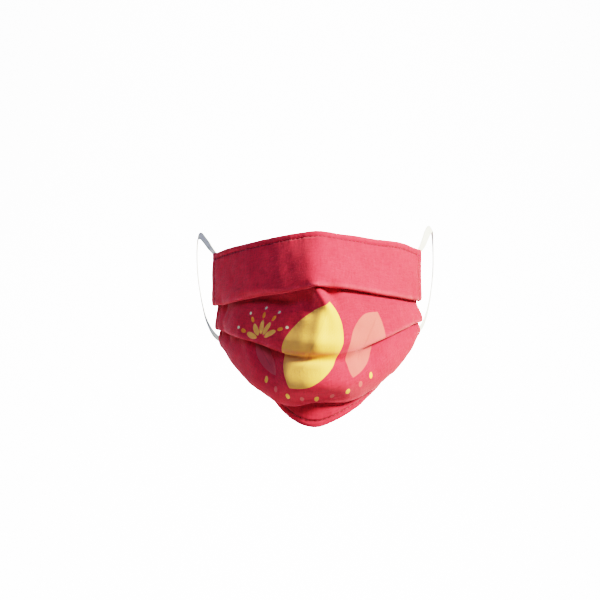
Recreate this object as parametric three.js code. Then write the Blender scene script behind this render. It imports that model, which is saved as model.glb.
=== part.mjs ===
// Pleated cloth face mask with two elastic ear loops, in the form that it takes when worn.
// Millimetres. +Z is up, the front faces -Y, and +X is at the viewer's right.
// The origin is the middle of the top edge, on the inner face, where the mask sits on the nose.

import * as THREE from "three";

// Worn size
const wornBreadth = 133; // between the side hems at the top edge
const wornHeight = 123.4; // from the middle of the top edge down to the lowest point
const wornDepth = 76; // from the foremost point back to the side hems
const wrapRatio = 0.93; // how far the sides wrap towards straight back, 1 for all the way

// Cloth
const clothWall = 1.2; // two plies of cotton
const hemWall = 1.5; // the same cloth, turned over and stitched
const edgeHemHeight = 4; // top and bottom hems
const sideHemWidth = 5.6;
const seamGap = 0.34; // groove that the stitching presses between hem and cloth
const foldGap = 0.42; // air between the layers of a pressed pleat
const pleatDepth = 13.5; // how far a closed pleat reaches up behind its own edge
const hemPly = hemWall + foldGap; // spacing of the layers in the stack
const ripple = 10; // unit of the soft ridges and dents

// Ear loops
const loopWidth = 5;
const loopWall = 1;
const loopGap = 0.5; // between the sewn end of a loop and the hem that holds it
const loopSewn = 8; // how far in from the side edge each end is sewn down
const loopInset = 0.6; // from the end of a loop's band to the edge of the cloth
const loopReach = 53; // from the side hem back to the rear of the loop

// Fineness of the faceted surface
const columns = 36;
const panelSteps = [8, 7, 7, 5];
const turnSteps = 3;
const loopSteps = 40;

// Places across the mask, as shares of the half breadth, at which a section gives its drop.
const STATIONS = [-1, -0.85, -0.6, -0.3, 0, 0.3, 0.6, 0.85, 1];

// One row for each line that runs from hem to hem across the worn mask, from the top down.
// left and right are shares of the half breadth, front and back shares of the depth.
// round is how softly the line rounds the front: 0.1 is peaked as over a nose, 1 is full.
// drop is the distance below the top, a share of the height, at each station.
const SECTIONS = {
  topEdge: {
    left: 0.997, right: 1.015, front: 0, back: 0.75, round: 0.14,
    drop: [0.112, 0.084, 0.053, 0.021, 0, 0.02, 0.041, 0.061, 0.094],
  },
  firstFold: {
    left: 0.999, right: 1.02, front: -0.25, back: 0.75, round: 0.17,
    drop: [0.371, 0.358, 0.323, 0.302, 0.272, 0.284, 0.311, 0.334, 0.345],
  },
  secondFold: {
    left: 0.974, right: 1.028, front: -0.22, back: 0.76, round: 0.5,
    drop: [0.494, 0.521, 0.559, 0.612, 0.626, 0.614, 0.545, 0.485, 0.452],
  },
  swell: {
    left: 0.955, right: 1.02, front: -0.265, back: 0.77, round: 0.8,
    drop: [0.55, 0.627, 0.712, 0.778, 0.782, 0.774, 0.688, 0.588, 0.496],
  },
  thirdFold: {
    left: 0.927, right: 1.005, front: -0.155, back: 0.79, round: 1,
    drop: [0.582, 0.69, 0.81, 0.888, 0.868, 0.866, 0.779, 0.651, 0.521],
  },
  bottomEdge: {
    left: 0.8, right: 0.857, front: -0.075, back: 0.89, round: 1.3,
    drop: [0.616, 0.69, 0.805, 0.955, 1, 0.942, 0.833, 0.69, 0.583],
  },
};

// The pleats, each under the edge that it ends at.
// closed is the share of the pleat that stays shut at each pleat station across the mask.
const PLEAT_STATIONS = [-1, -0.6, -0.3, 0, 0.3, 0.6, 1];
const PLEATS = [
  { edge: "firstFold", closed: [1, 0.62, 0.3, 0.16, 0.5, 0.8, 1] },
  { edge: "secondFold", closed: [1, 0.75, 0.2, 0.04, 0.08, 0.6, 1] },
  { edge: "thirdFold", closed: [1, 0.95, 0.85, 0.75, 0.75, 0.85, 1] },
];

// Soft ridges and dents of the worn cloth.
// across is the place as a share of the half breadth, down the place in section rows.
// wide and long are the half sizes and rise is the height, negative for a dent, as shares of ripple.
// lean turns the long way from upright, in degrees, positive with its foot to the right.
const DENTS = [
  { across: 0.035, down: 1.2, wide: 0.36, long: 0.95, rise: 0.4, lean: 34 },
  { across: -0.06, down: 1.24, wide: 0.55, long: 1, rise: -0.36, lean: 32 },
  { across: 0.115, down: 1.1, wide: 0.42, long: 0.6, rise: -0.22, lean: 38 },
  { across: 0.02, down: 1.62, wide: 0.42, long: 1.7, rise: 0.2, lean: -14 },
  { across: -0.12, down: 1.6, wide: 0.9, long: 1.5, rise: -0.12, lean: -10 },
  { across: -0.3, down: 1.17, wide: 0.5, long: 1.7, rise: -0.34, lean: 84 },
  { across: 0.04, down: 2.17, wide: 0.3, long: 2.6, rise: -0.34, lean: 88 },
  { across: 0.04, down: 1.84, wide: 0.5, long: 2.4, rise: 0.2, lean: 88 },
  { across: -0.68, down: 1.55, wide: 0.9, long: 1.1, rise: 0.13, lean: 20 },
  { across: 0.66, down: 1.5, wide: 0.9, long: 1, rise: 0.13, lean: -20 },
  { across: -0.86, down: 1.24, wide: 0.36, long: 0.7, rise: -0.13, lean: 0 },
  { across: 0.86, down: 1.14, wide: 0.36, long: 0.6, rise: -0.11, lean: 0 },
  { across: -0.84, down: 2.2, wide: 0.4, long: 0.7, rise: -0.13, lean: 30 },
  { across: 0.85, down: 2.15, wide: 0.36, long: 0.6, rise: -0.1, lean: -30 },
  { across: -0.33, down: 2.5, wide: 0.6, long: 1.4, rise: -0.2, lean: 36 },
  { across: 0.3, down: 2.35, wide: 0.6, long: 1.4, rise: -0.12, lean: -30 },
  { across: -0.55, down: 2.3, wide: 0.5, long: 1.3, rise: 0.14, lean: 42 },
  { across: 0.52, down: 2.4, wide: 0.6, long: 1.2, rise: 0.12, lean: -38 },
  { across: -0.5, down: 0.55, wide: 1.4, long: 1.4, rise: 0.09, lean: 10 },
  { across: 0.5, down: 0.6, wide: 1.4, long: 1.4, rise: -0.08, lean: -8 },
];

// Course of each ear loop from the top hem corner round the ear to the bottom corner.
// out is a share of the half breadth, back a share of the reach behind the side hem,
// level a share of the worn height, and tilt turns the flat of the band, in degrees.
const LOOPS = {
  left: [
    { out: 1.035, back: 0.15, level: -0.075, tilt: 12 },
    { out: 1.085, back: 0.36, level: -0.04, tilt: 14 },
    { out: 1.135, back: 0.62, level: -0.012, tilt: 14 },
    { out: 1.165, back: 0.83, level: -0.022, tilt: 8 },
    { out: 1.18, back: 0.97, level: -0.11, tilt: 0 },
    { out: 1.17, back: 1, level: -0.23, tilt: 0 },
    { out: 1.135, back: 0.94, level: -0.35, tilt: 0 },
    { out: 1.085, back: 0.8, level: -0.455, tilt: 0 },
    { out: 1.01, back: 0.6, level: -0.53, tilt: 0 },
  ],
  right: [
    { out: 1.04, back: 0.13, level: -0.062, tilt: 30 },
    { out: 1.085, back: 0.32, level: -0.006, tilt: 44 },
    { out: 1.125, back: 0.56, level: 0.026, tilt: 40 },
    { out: 1.15, back: 0.8, level: 0.008, tilt: 16 },
    { out: 1.165, back: 0.96, level: -0.08, tilt: 0 },
    { out: 1.165, back: 1, level: -0.2, tilt: 0 },
    { out: 1.14, back: 0.94, level: -0.32, tilt: 0 },
    { out: 1.1, back: 0.8, level: -0.42, tilt: 0 },
    { out: 1.045, back: 0.6, level: -0.49, tilt: 0 },
  ],
};

const rows = Object.values(SECTIONS);
const rowNames = Object.keys(SECTIONS);
const halfBreadth = wornBreadth / 2;
const turnRadius = hemPly / 2;

// Smooth curve through values at uneven knots, each with the slope of its neighbours.
function spline(knots, values) {
  const last = knots.length - 1;
  const slopes = knots.map((_, i) => {
    const a = Math.max(i - 1, 0);
    const b = Math.min(i + 1, last);
    if (a === i || b === i) {
      return (values[b] - values[a]) / (knots[b] - knots[a]);
    }
    const before = (values[i] - values[a]) / (knots[i] - knots[a]);
    const after = (values[b] - values[i]) / (knots[b] - knots[i]);
    const weight = (knots[i] - knots[a]) / (knots[b] - knots[a]);
    return before * (1 - weight) + after * weight;
  });
  return (at) => {
    let i = 0;
    while (i < last - 1 && at > knots[i + 1]) {
      i += 1;
    }
    const width = knots[i + 1] - knots[i];
    const t = Math.min(Math.max((at - knots[i]) / width, 0), 1);
    const rise = t * t * (3 - 2 * t);
    const early = t * (1 - t) * (1 - t) * width;
    const late = t * t * (t - 1) * width;
    return values[i] * (1 - rise) + values[i + 1] * rise + slopes[i] * early + slopes[i + 1] * late;
  };
}

// A section as a line from hem to hem, read by its share of each half's own length.
function sectionLine(row) {
  const dropAt = spline(STATIONS, row.drop);
  const front = row.front * wornDepth - hemWall / 2;
  const back = row.back * wornDepth;
  const place = (share) => {
    const half = halfBreadth * (share < 0 ? row.left : row.right);
    const full = Math.hypot(1, row.round) - row.round;
    const out = (Math.hypot(share, row.round) - row.round) / full;
    const wrap = (1 - Math.sqrt(1 - wrapRatio * Math.min(out, 1))) / (1 - Math.sqrt(1 - wrapRatio));
    return new THREE.Vector3(share * half, front + (back - front) * wrap, -dropAt(share) * wornHeight);
  };
  const samples = 64;
  const halves = [-1, 1].map((side) => {
    const marks = [];
    let length = 0;
    let before = place(0);
    for (let k = 0; k <= samples; k += 1) {
      const share = Math.sin((Math.PI / 2) * (k / samples));
      const here = place(side * share);
      length += here.distanceTo(before);
      marks.push({ share, length });
      before = here;
    }
    return marks;
  });
  return (u) => {
    const marks = halves[u < 0 ? 0 : 1];
    const wanted = Math.abs(u) * marks[samples].length;
    let k = 1;
    while (k < samples && marks[k].length < wanted) {
      k += 1;
    }
    const a = marks[k - 1];
    const b = marks[k];
    const share = a.share + ((b.share - a.share) * (wanted - a.length)) / (b.length - a.length);
    return place(Math.sign(u) * share);
  };
}

const lines = rows.map(sectionLine);
const halfCloth = (() => {
  let length = 0;
  const line = lines[rowNames.indexOf("secondFold")];
  for (let k = 0; k < 40; k += 1) {
    length += line(k / 40).distanceTo(line((k + 1) / 40));
  }
  return length;
})();

// One upright line of the worn form, by its distance s down the cloth from the top edge.
const columnStore = new Map();
function column(u) {
  if (!columnStore.has(u)) {
    const points = lines.map((line) => line(u));
    const knots = [0];
    for (let i = 1; i < points.length; i += 1) {
      knots.push(knots[i - 1] + points[i].distanceTo(points[i - 1]));
    }
    const x = spline(knots, points.map((p) => p.x));
    const y = spline(knots, points.map((p) => p.y));
    const z = spline(knots, points.map((p) => p.z));
    columnStore.set(u, { knots, at: (s) => new THREE.Vector3(x(s), y(s), z(s)) });
  }
  return columnStore.get(u);
}

function rowOf(knots, s) {
  let i = 0;
  while (i < knots.length - 2 && s > knots[i + 1]) {
    i += 1;
  }
  return i + (s - knots[i]) / (knots[i + 1] - knots[i]);
}

function lengthAt(knots, row) {
  const i = Math.min(Math.max(Math.floor(row), 0), knots.length - 2);
  return knots[i] + (row - i) * (knots[i + 1] - knots[i]);
}

// Height of the soft ridges and dents over the smooth form.
function dentAt(u, knots, s) {
  let height = 0;
  for (const dent of DENTS) {
    const side = ((u - dent.across) * halfCloth) / ripple;
    const down = (s - lengthAt(knots, dent.down)) / ripple;
    const lean = THREE.MathUtils.degToRad(dent.lean);
    const along = down * Math.cos(lean) + side * Math.sin(lean);
    const off = side * Math.cos(lean) - down * Math.sin(lean);
    const shape = Math.exp(-Math.pow(off / dent.wide, 2) - Math.pow(along / dent.long, 2));
    height += dent.rise * ripple * shape;
  }
  return height;
}

// Point of the worn cloth at share u across, s down and n out from the smooth form.
function worn(u, s, n) {
  const here = column(u);
  const row = rowOf(here.knots, s);
  const step = 0.004;
  const before = column(u - step);
  const after = column(u + step);
  const across = after.at(lengthAt(after.knots, row)).sub(before.at(lengthAt(before.knots, row)));
  const down = here.at(s + 0.4).sub(here.at(s - 0.4));
  const out = down.cross(across).normalize();
  return here.at(s).addScaledVector(out, n + dentAt(u, here.knots, s));
}

// How the pleats lie at share u: where the edge is, how far each is turned, its depth and step.
const closedAt = PLEATS.map((pleat) => spline(PLEAT_STATIONS, pleat.closed));
const foldStore = new Map();
function foldsAt(u) {
  if (!foldStore.has(u)) {
    const knots = column(u).knots;
    const folds = PLEATS.map((pleat, k) => {
      const closed = Math.min(closedAt[k](u), 1);
      const turn = Math.PI * (1 - Math.pow(1 - closed, 5));
      const depth = pleatDepth * closed;
      const step = 2 * turnRadius * (1 - Math.cos(turn)) + depth * Math.sin(turn);
      return { edge: knots[rowNames.indexOf(pleat.edge)], turn, depth, step };
    });
    foldStore.set(u, { folds, end: knots[knots.length - 1] });
  }
  return foldStore.get(u);
}

// Height of panel k over the smooth form: it starts a step in, under the pleat above, and
// comes out to its own lower edge.
function panelHeight(k, u, s) {
  const { folds, end } = foldsAt(u);
  if (k === 0) {
    return 0;
  }
  const above = folds[k - 1];
  if (s < above.edge) {
    return panelHeight(k - 1, u, s) - above.step;
  }
  const below = k < folds.length ? folds[k].edge : end;
  const t = Math.min((s - above.edge) / (below - above.edge), 1);
  return -above.step * (1 - t * t * (3 - 2 * t));
}

// The courses down the cloth, from one distance below the top edge to one above the bottom.
function coursesDown(fromTop, toBottom) {
  const courses = [];
  for (let k = 0; k <= PLEATS.length; k += 1) {
    const skip = k === 0 ? 0 : 1;
    for (let i = skip; i <= panelSteps[k]; i += 1) {
      const share = i / panelSteps[k];
      courses.push((u) => {
        const { folds, end } = foldsAt(u);
        const above = folds[k - 1];
        const drift = above ? 2 * turnRadius * Math.sin(above.turn) + above.depth * Math.cos(above.turn) : 0;
        const start = above ? above.edge + drift : fromTop;
        const stop = k < folds.length ? folds[k].edge : end - toBottom;
        const s = start + (stop - start) * share;
        return [s, panelHeight(k, u, s)];
      });
    }
    if (k === PLEATS.length) {
      continue;
    }
    for (let i = 1; i <= 2 * turnSteps + 2; i += 1) {
      courses.push((u) => {
        const { edge, turn, depth } = foldsAt(u).folds[k];
        const first = turn * Math.min(i / turnSteps, 1);
        const run = depth * Math.min(Math.max((i - turnSteps) / 2, 0), 1);
        const second = turn * (1 - Math.max((i - turnSteps - 2) / turnSteps, 0));
        let s = edge + turnRadius * Math.sin(first);
        let n = -turnRadius * (1 - Math.cos(first));
        s += run * Math.cos(turn);
        n -= run * Math.sin(turn);
        s += turnRadius * (Math.sin(turn) - Math.sin(second));
        n -= turnRadius * (Math.cos(second) - Math.cos(turn));
        return [s, n + panelHeight(k, u, s)];
      });
    }
  }
  return courses;
}

// Courses of a short band that lies between two distances down one panel.
function coursesOfBand(k, startOf, stopOf, steps) {
  return Array.from({ length: steps + 1 }, (_, i) => (u) => {
    const { end } = foldsAt(u);
    const s = startOf(end) + ((stopOf(end) - startOf(end)) * i) / steps;
    return [s, panelHeight(k, u, s)];
  });
}

// A closed solid from the two faces of a stretch of cloth.
function clothSolid(fromU, toU, steps, courses, wall) {
  const position = [];
  const index = [];
  for (let c = 0; c <= steps; c += 1) {
    const u = fromU + ((toU - fromU) * c) / steps;
    const path = courses.map((course) => course(u));
    path.forEach(([s, n], i) => {
      const [s0, n0] = path[Math.max(i - 1, 0)];
      const [s1, n1] = path[Math.min(i + 1, path.length - 1)];
      const length = Math.hypot(s1 - s0, n1 - n0);
      const offS = (-(n1 - n0) / length) * (wall / 2);
      const offN = ((s1 - s0) / length) * (wall / 2);
      position.push(...worn(u, s + offS, n + offN).toArray());
      position.push(...worn(u, s - offS, n - offN).toArray());
    });
  }
  const down = courses.length;
  const at = (c, i, inner) => 2 * (c * down + i) + inner;
  const quad = (a, b, c, d) => index.push(a, b, c, a, c, d);
  for (let c = 0; c < steps; c += 1) {
    for (let i = 0; i < down - 1; i += 1) {
      quad(at(c, i, 0), at(c, i + 1, 0), at(c + 1, i + 1, 0), at(c + 1, i, 0));
      quad(at(c, i, 1), at(c + 1, i, 1), at(c + 1, i + 1, 1), at(c, i + 1, 1));
    }
    quad(at(c, 0, 0), at(c + 1, 0, 0), at(c + 1, 0, 1), at(c, 0, 1));
    quad(at(c, down - 1, 0), at(c, down - 1, 1), at(c + 1, down - 1, 1), at(c + 1, down - 1, 0));
  }
  for (let i = 0; i < down - 1; i += 1) {
    quad(at(0, i, 0), at(0, i, 1), at(0, i + 1, 1), at(0, i + 1, 0));
    quad(at(steps, i, 0), at(steps, i + 1, 0), at(steps, i + 1, 1), at(steps, i, 1));
  }
  const geometry = new THREE.BufferGeometry();
  geometry.setAttribute("position", new THREE.Float32BufferAttribute(position, 3));
  geometry.setIndex(index);
  return geometry;
}

// A place on the inner face of panel k for the middle of a sewn band, and the face's outward
// direction there. inward and down are distances from the side edge and along the cloth.
function bed(k, side, inward, down) {
  const u = side * (1 - inward / halfCloth);
  const at = (share, s) => {
    const behind = hemWall / 2 + loopGap + loopWall / 2;
    return worn(share, s, panelHeight(k, share, s) - behind);
  };
  const reach = loopWidth / 2 / halfCloth;
  const across = at(u + reach, down).sub(at(u - reach, down));
  const along = at(u, down + loopWidth / 2).sub(at(u, down - loopWidth / 2));
  const flat = along.cross(across).normalize();
  const place = at(u, down);
  const shares = [-1, -0.75, -0.5, 0, 0.5, 1];
  const around = shares.flatMap((i) => shares.map((j) => [i * reach, (j * loopWidth) / 2]));
  const dips = around.map(([i, j]) => place.clone().sub(at(u + i, down + j)).dot(flat));
  return { place: place.addScaledVector(flat, -Math.max(...dips, 0)), flat };
}

// The band of one ear loop, with both ends flat behind the hem's corners.
function loopSolid(side, table) {
  const lastPanel = PLEATS.length;
  const bottom = foldsAt(side).end - loopWidth / 2 - loopInset;
  const hemBack = wornDepth * SECTIONS.topEdge.back;
  const free = table.map((row) => {
    const place = new THREE.Vector3(
      side * row.out * halfBreadth,
      hemBack + row.back * loopReach,
      row.level * wornHeight,
    );
    return { place, flat: new THREE.Vector3(side, 0, 0), tilt: row.tilt };
  });
  const marks = [
    bed(0, side, loopSewn, loopSewn + loopInset),
    bed(0, side, loopSewn / 2, loopSewn / 2 + loopInset),
    bed(0, side, 0, loopInset),
    ...free,
    bed(lastPanel, side, 0, bottom),
    bed(lastPanel, side, loopSewn / 2, bottom),
    bed(lastPanel, side, loopSewn, bottom),
  ];
  const knots = [0];
  for (let i = 1; i < marks.length; i += 1) {
    knots.push(knots[i - 1] + marks[i].place.distanceTo(marks[i - 1].place));
  }
  const [x, y, z] = ["x", "y", "z"].map((axis) => spline(knots, marks.map((m) => m.place[axis])));
  const [fx, fy, fz] = ["x", "y", "z"].map((axis) => spline(knots, marks.map((m) => m.flat[axis])));
  const tilt = spline(knots, marks.map((m) => m.tilt ?? 0));
  const at = (s) => new THREE.Vector3(x(s), y(s), z(s));
  const total = knots[knots.length - 1];
  const position = [];
  for (let i = 0; i <= loopSteps; i += 1) {
    const s = (total * i) / loopSteps;
    const along = at(Math.min(s + 0.3, total)).sub(at(Math.max(s - 0.3, 0))).normalize();
    const flat = new THREE.Vector3(fx(s), fy(s), fz(s));
    flat.addScaledVector(along, -flat.dot(along)).normalize();
    flat.applyAxisAngle(along, THREE.MathUtils.degToRad(-side * tilt(s)));
    const across = new THREE.Vector3().crossVectors(flat, along);
    for (const [a, b] of [[1, 1], [-1, 1], [-1, -1], [1, -1]]) {
      const corner = at(s);
      corner.addScaledVector(across, (a * loopWidth) / 2);
      corner.addScaledVector(flat, (b * loopWall) / 2);
      position.push(...corner.toArray());
    }
  }
  const index = [];
  const quad = (a, b, c, d) => index.push(a, b, c, a, c, d);
  for (let i = 0; i < loopSteps; i += 1) {
    for (let j = 0; j < 4; j += 1) {
      const k = (j + 1) % 4;
      quad(4 * i + j, 4 * i + k, 4 * i + 4 + k, 4 * i + 4 + j);
    }
  }
  const e = 4 * loopSteps;
  quad(0, 3, 2, 1);
  quad(e, e + 1, e + 2, e + 3);
  const geometry = new THREE.BufferGeometry();
  geometry.setAttribute("position", new THREE.Float32BufferAttribute(position, 3));
  geometry.setIndex(index);
  return geometry;
}

// Materials
const redCotton = { color: "#c9283f", roughness: 0.92, metalness: 0 };
const whiteElastic = { color: "#efedec", roughness: 0.8, metalness: 0 };

const mask = new THREE.Group();
function add(name, geometry, finish) {
  geometry.computeVertexNormals();
  const mesh = new THREE.Mesh(geometry, new THREE.MeshStandardMaterial(finish));
  mesh.name = name;
  mask.add(mesh);
}

const hemStart = 1 - sideHemWidth / halfCloth;
const clothStop = hemStart - seamGap / halfCloth;
const inset = edgeHemHeight + seamGap;
const wholeCourses = coursesDown(0, 0);
const topCourses = coursesOfBand(0, () => 0, () => edgeHemHeight, 2);
const bottomCourses = coursesOfBand(PLEATS.length, (end) => end - edgeHemHeight, (end) => end, 2);

add("mask_body", clothSolid(-clothStop, clothStop, columns, coursesDown(inset, inset), clothWall), redCotton);
add("top_hem", clothSolid(-clothStop, clothStop, columns, topCourses, hemWall), redCotton);
add("bottom_hem", clothSolid(-clothStop, clothStop, columns, bottomCourses, hemWall), redCotton);
add("side_hem_left", clothSolid(-1, -hemStart, 2, wholeCourses, hemWall), redCotton);
add("side_hem_right", clothSolid(hemStart, 1, 2, wholeCourses, hemWall), redCotton);
add("ear_loop_left", loopSolid(-1, LOOPS.left), whiteElastic);
add("ear_loop_right", loopSolid(1, LOOPS.right), whiteElastic);

export default mask;
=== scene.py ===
import math

import bpy
import numpy as np
from mathutils import Matrix, Vector


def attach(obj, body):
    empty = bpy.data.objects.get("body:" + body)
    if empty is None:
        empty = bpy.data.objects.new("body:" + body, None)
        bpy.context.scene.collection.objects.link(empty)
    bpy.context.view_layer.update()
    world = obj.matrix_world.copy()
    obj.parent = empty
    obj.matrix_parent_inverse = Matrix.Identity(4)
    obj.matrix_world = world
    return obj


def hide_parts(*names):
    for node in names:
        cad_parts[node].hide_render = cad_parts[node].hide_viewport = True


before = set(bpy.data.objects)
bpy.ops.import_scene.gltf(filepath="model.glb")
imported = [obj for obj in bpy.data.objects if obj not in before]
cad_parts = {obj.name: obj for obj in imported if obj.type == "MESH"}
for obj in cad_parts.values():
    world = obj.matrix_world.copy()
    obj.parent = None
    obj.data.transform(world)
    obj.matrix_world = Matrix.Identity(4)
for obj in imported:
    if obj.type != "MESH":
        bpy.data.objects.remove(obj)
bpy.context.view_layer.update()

bl_info = {
    "name": "Pleated Cloth Mask",
    "version": (1, 0, 0),
    "blender": (4, 5, 0),
    "location": "View3D > Sidebar > Mask",
    "description": "Builds a worn cloth face mask with pleats, stitched hems and ear loops",
    "category": "Object",
}

MM = 0.001


def table(columns, *rows):
    """Rows of values as dicts, with the names of the columns given once."""
    return [dict(zip(columns.split(), row)) for row in rows]


# Places across the mask, as shares of the half breadth, at which a section gives its drop.
STATIONS = [-1, -0.85, -0.6, -0.3, 0, 0.3, 0.6, 0.85, 1]

# The lines that run from hem to hem across the worn mask, from the top down: half widths as
# shares of the half breadth, front and back of the depth, and drops of the height. A larger
# round makes a rounder front.
SECTIONS = {
    "top_edge": dict(
        left=0.997, right=1.015, front=0, back=0.75, round=0.14,
        drop=[0.112, 0.084, 0.053, 0.021, 0, 0.02, 0.041, 0.061, 0.094],
    ),
    "first_fold": dict(
        left=0.999, right=1.02, front=-0.25, back=0.75, round=0.17,
        drop=[0.371, 0.358, 0.323, 0.302, 0.272, 0.284, 0.311, 0.334, 0.345],
    ),
    "second_fold": dict(
        left=0.974, right=1.028, front=-0.22, back=0.76, round=0.5,
        drop=[0.494, 0.521, 0.559, 0.612, 0.626, 0.614, 0.545, 0.485, 0.452],
    ),
    "swell": dict(
        left=0.955, right=1.02, front=-0.265, back=0.77, round=0.8,
        drop=[0.55, 0.627, 0.712, 0.778, 0.782, 0.774, 0.688, 0.588, 0.496],
    ),
    "third_fold": dict(
        left=0.927, right=1.005, front=-0.155, back=0.79, round=1,
        drop=[0.582, 0.69, 0.81, 0.888, 0.868, 0.866, 0.779, 0.651, 0.521],
    ),
    "bottom_edge": dict(
        left=0.8, right=0.857, front=-0.075, back=0.89, round=1.3,
        drop=[0.616, 0.69, 0.805, 0.955, 1, 0.942, 0.833, 0.69, 0.583],
    ),
}

# The pleats: the line at which each one folds, and how far it stays shut at each station.
PLEAT_STATIONS = [-1, -0.6, -0.3, 0, 0.3, 0.6, 1]
PLEATS = [
    dict(edge=1, closed=[1, 0.62, 0.3, 0.16, 0.5, 0.8, 1]),
    dict(edge=2, closed=[1, 0.75, 0.2, 0.04, 0.08, 0.6, 1]),
    dict(edge=4, closed=[1, 0.95, 0.85, 0.75, 0.75, 0.85, 1]),
]

# Soft ridges and dents: place across as a share and down in section rows, half sizes and rise
# as shares of the ripple size, and lean of the long way from upright in degrees.
DENTS = table(
    "across down wide long rise lean",
    (0.035, 1.2, 0.36, 0.95, 0.4, 34),
    (-0.06, 1.24, 0.55, 1, -0.36, 32),
    (0.115, 1.1, 0.42, 0.6, -0.22, 38),
    (0.02, 1.62, 0.42, 1.7, 0.2, -14),
    (-0.12, 1.6, 0.9, 1.5, -0.12, -10),
    (-0.3, 1.17, 0.5, 1.7, -0.34, 84),
    (0.04, 2.17, 0.3, 2.6, -0.34, 88),
    (0.04, 1.84, 0.5, 2.4, 0.2, 88),
    (-0.68, 1.55, 0.9, 1.1, 0.13, 20),
    (0.66, 1.5, 0.9, 1, 0.13, -20),
    (-0.86, 1.24, 0.36, 0.7, -0.13, 0),
    (0.86, 1.14, 0.36, 0.6, -0.11, 0),
    (-0.84, 2.2, 0.4, 0.7, -0.13, 30),
    (0.85, 2.15, 0.36, 0.6, -0.1, -30),
    (-0.33, 2.5, 0.6, 1.4, -0.2, 36),
    (0.3, 2.35, 0.6, 1.4, -0.12, -30),
    (-0.55, 2.3, 0.5, 1.3, 0.14, 42),
    (0.52, 2.4, 0.6, 1.2, 0.12, -38),
    (-0.5, 0.55, 1.4, 1.4, 0.09, 10),
    (0.5, 0.6, 1.4, 1.4, -0.08, -8),
    (0.02, 3.05, 3, 0.7, 0.13, 0),
    (0.02, 3.95, 3, 0.55, -0.13, 0),
    (-0.52, 1.08, 0.28, 1.5, -0.15, 86),
    (-0.42, 0.95, 0.3, 2.2, 0.09, 86),
)

# Fine unevenness of the worn cloth: waves by length and direction, heights in shares of ripple.
WAVES = table(
    "length lean height start",
    (0.031, 72, 0.016, 0.3),
    (0.023, -38, 0.013, 1.9),
    (0.017, 18, 0.01, 4.1),
    (0.0125, -81, 0.007, 2.6),
    (0.0095, 47, 0.005, 5.2),
)

# Course of each ear loop: out, back and level as shares of the half breadth, the loop's reach
# and the height, and tilt of the band in degrees.
LOOPS = {
    "left": table(
        "out back level tilt",
        (1.035, 0.15, -0.075, 12),
        (1.085, 0.36, -0.04, 14),
        (1.135, 0.62, -0.012, 14),
        (1.165, 0.83, -0.022, 8),
        (1.18, 0.97, -0.11, 0),
        (1.17, 1, -0.23, 0),
        (1.135, 0.94, -0.35, 0),
        (1.085, 0.8, -0.455, 0),
        (1.01, 0.6, -0.53, 0),
    ),
    "right": table(
        "out back level tilt",
        (1.04, 0.13, -0.062, 30),
        (1.085, 0.32, -0.006, 44),
        (1.125, 0.56, 0.026, 40),
        (1.15, 0.8, 0.008, 16),
        (1.165, 0.96, -0.08, 0),
        (1.165, 1, -0.2, 0),
        (1.14, 0.94, -0.32, 0),
        (1.1, 0.8, -0.42, 0),
        (1.045, 0.6, -0.49, 0),
    ),
}

# Fineness of the meshes: steps down each panel, round each turn of a fold and along its
# hidden run, and lines across the cloth.
PANELS = [40, 46, 40, 24]
TURNS = 8
RUN = 4
ACROSS = 196

# Gathers beside a seam: reach into the cloth and back into the hem, and pitch along the seam.
GATHER_REACH = 4 * MM
GATHER_BACK = 3 * MM
GATHER_PITCH = 4.6 * MM

# The groove that the stitches press: its width, and its depth in heights of the gathers.
GROOVE_WIDTH = 0.9 * MM
GROOVE_DEPTH = 1.6

# Rubbing and painted shade: how far rubbing reaches from edges and lips, and how far painted shade
# reaches from the seams and under the lips. The painted shade under a lip is full where its step
# is FULL_STEP high, and starts LIP_ROUND above its edge. A point is on the lip or under it by how
# much of the step it lies inwards. RUB_HEM, SEAM_DARK and LIP_DARK are the strengths of the rubbing
# on the side hems, and of the painted shade in the seams and under the lips.
RUB_EDGE = MM
RUB_LIP = 1.1 * MM
SHADE_SEAM = 0.55 * MM
SHADE_LIP = 3.6 * MM
LIP_ROUND = 0.2 * MM
FULL_STEP = 2 * MM
ON_LIP = 0.3
UNDER_LIP = 0.4
RUB_HEM = 0.5
SEAM_DARK = 0.7
LIP_DARK = 0.9

# A hem from its folded edge, share 0, to its stitching, share 1: where the edge is round and
# the puff ends, how far the stitches press, wall left at the edge, height of the puff outside
# and inside, and room left between the layers of a fold.
EDGE_ROUND = 0.22
PUFF_END = 0.85
PRESS_REACH = 0.14
EDGE_WALL = 0.28
PUFF = 0.2 * MM
INNER_PUFF = 0.05 * MM
ROOM = 0.03 * MM

# The turned-in flap behind a hem, and the rows of stitches.
FLAP_GAP = 0.05 * MM
FLAP_WALL = 0.18 * MM
STITCH_GAP = 0.6 * MM

# Zigzag tacks on a sewn end: rows by their distance from the end in mm, stitches in a row, the
# share of the band that they span, their length and their lean.
TACK_ROWS = (1.2, 2.6, 4.0, 5.4)
TACKS = 5
TACK_SPAN = 0.78
TACK_LENGTH = 1.15 * MM
TACK_LEAN = 0.5

# Threads of the cotton, ribs of the elastic and stitches across them, from one to the next.
WEAVE_PITCH = 0.00045
RIB_PITCH = 0.00062
KNIT_PITCH = 0.0011


# Properties


def length(name, description, default):
    return bpy.props.FloatProperty(
        name=name, description=description, default=default, min=0.0, unit="LENGTH", precision=5
    )


def colour(name, description, default):
    return bpy.props.FloatVectorProperty(
        name=name, description=description, default=default, min=0, max=1, size=3, subtype="COLOR"
    )


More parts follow.
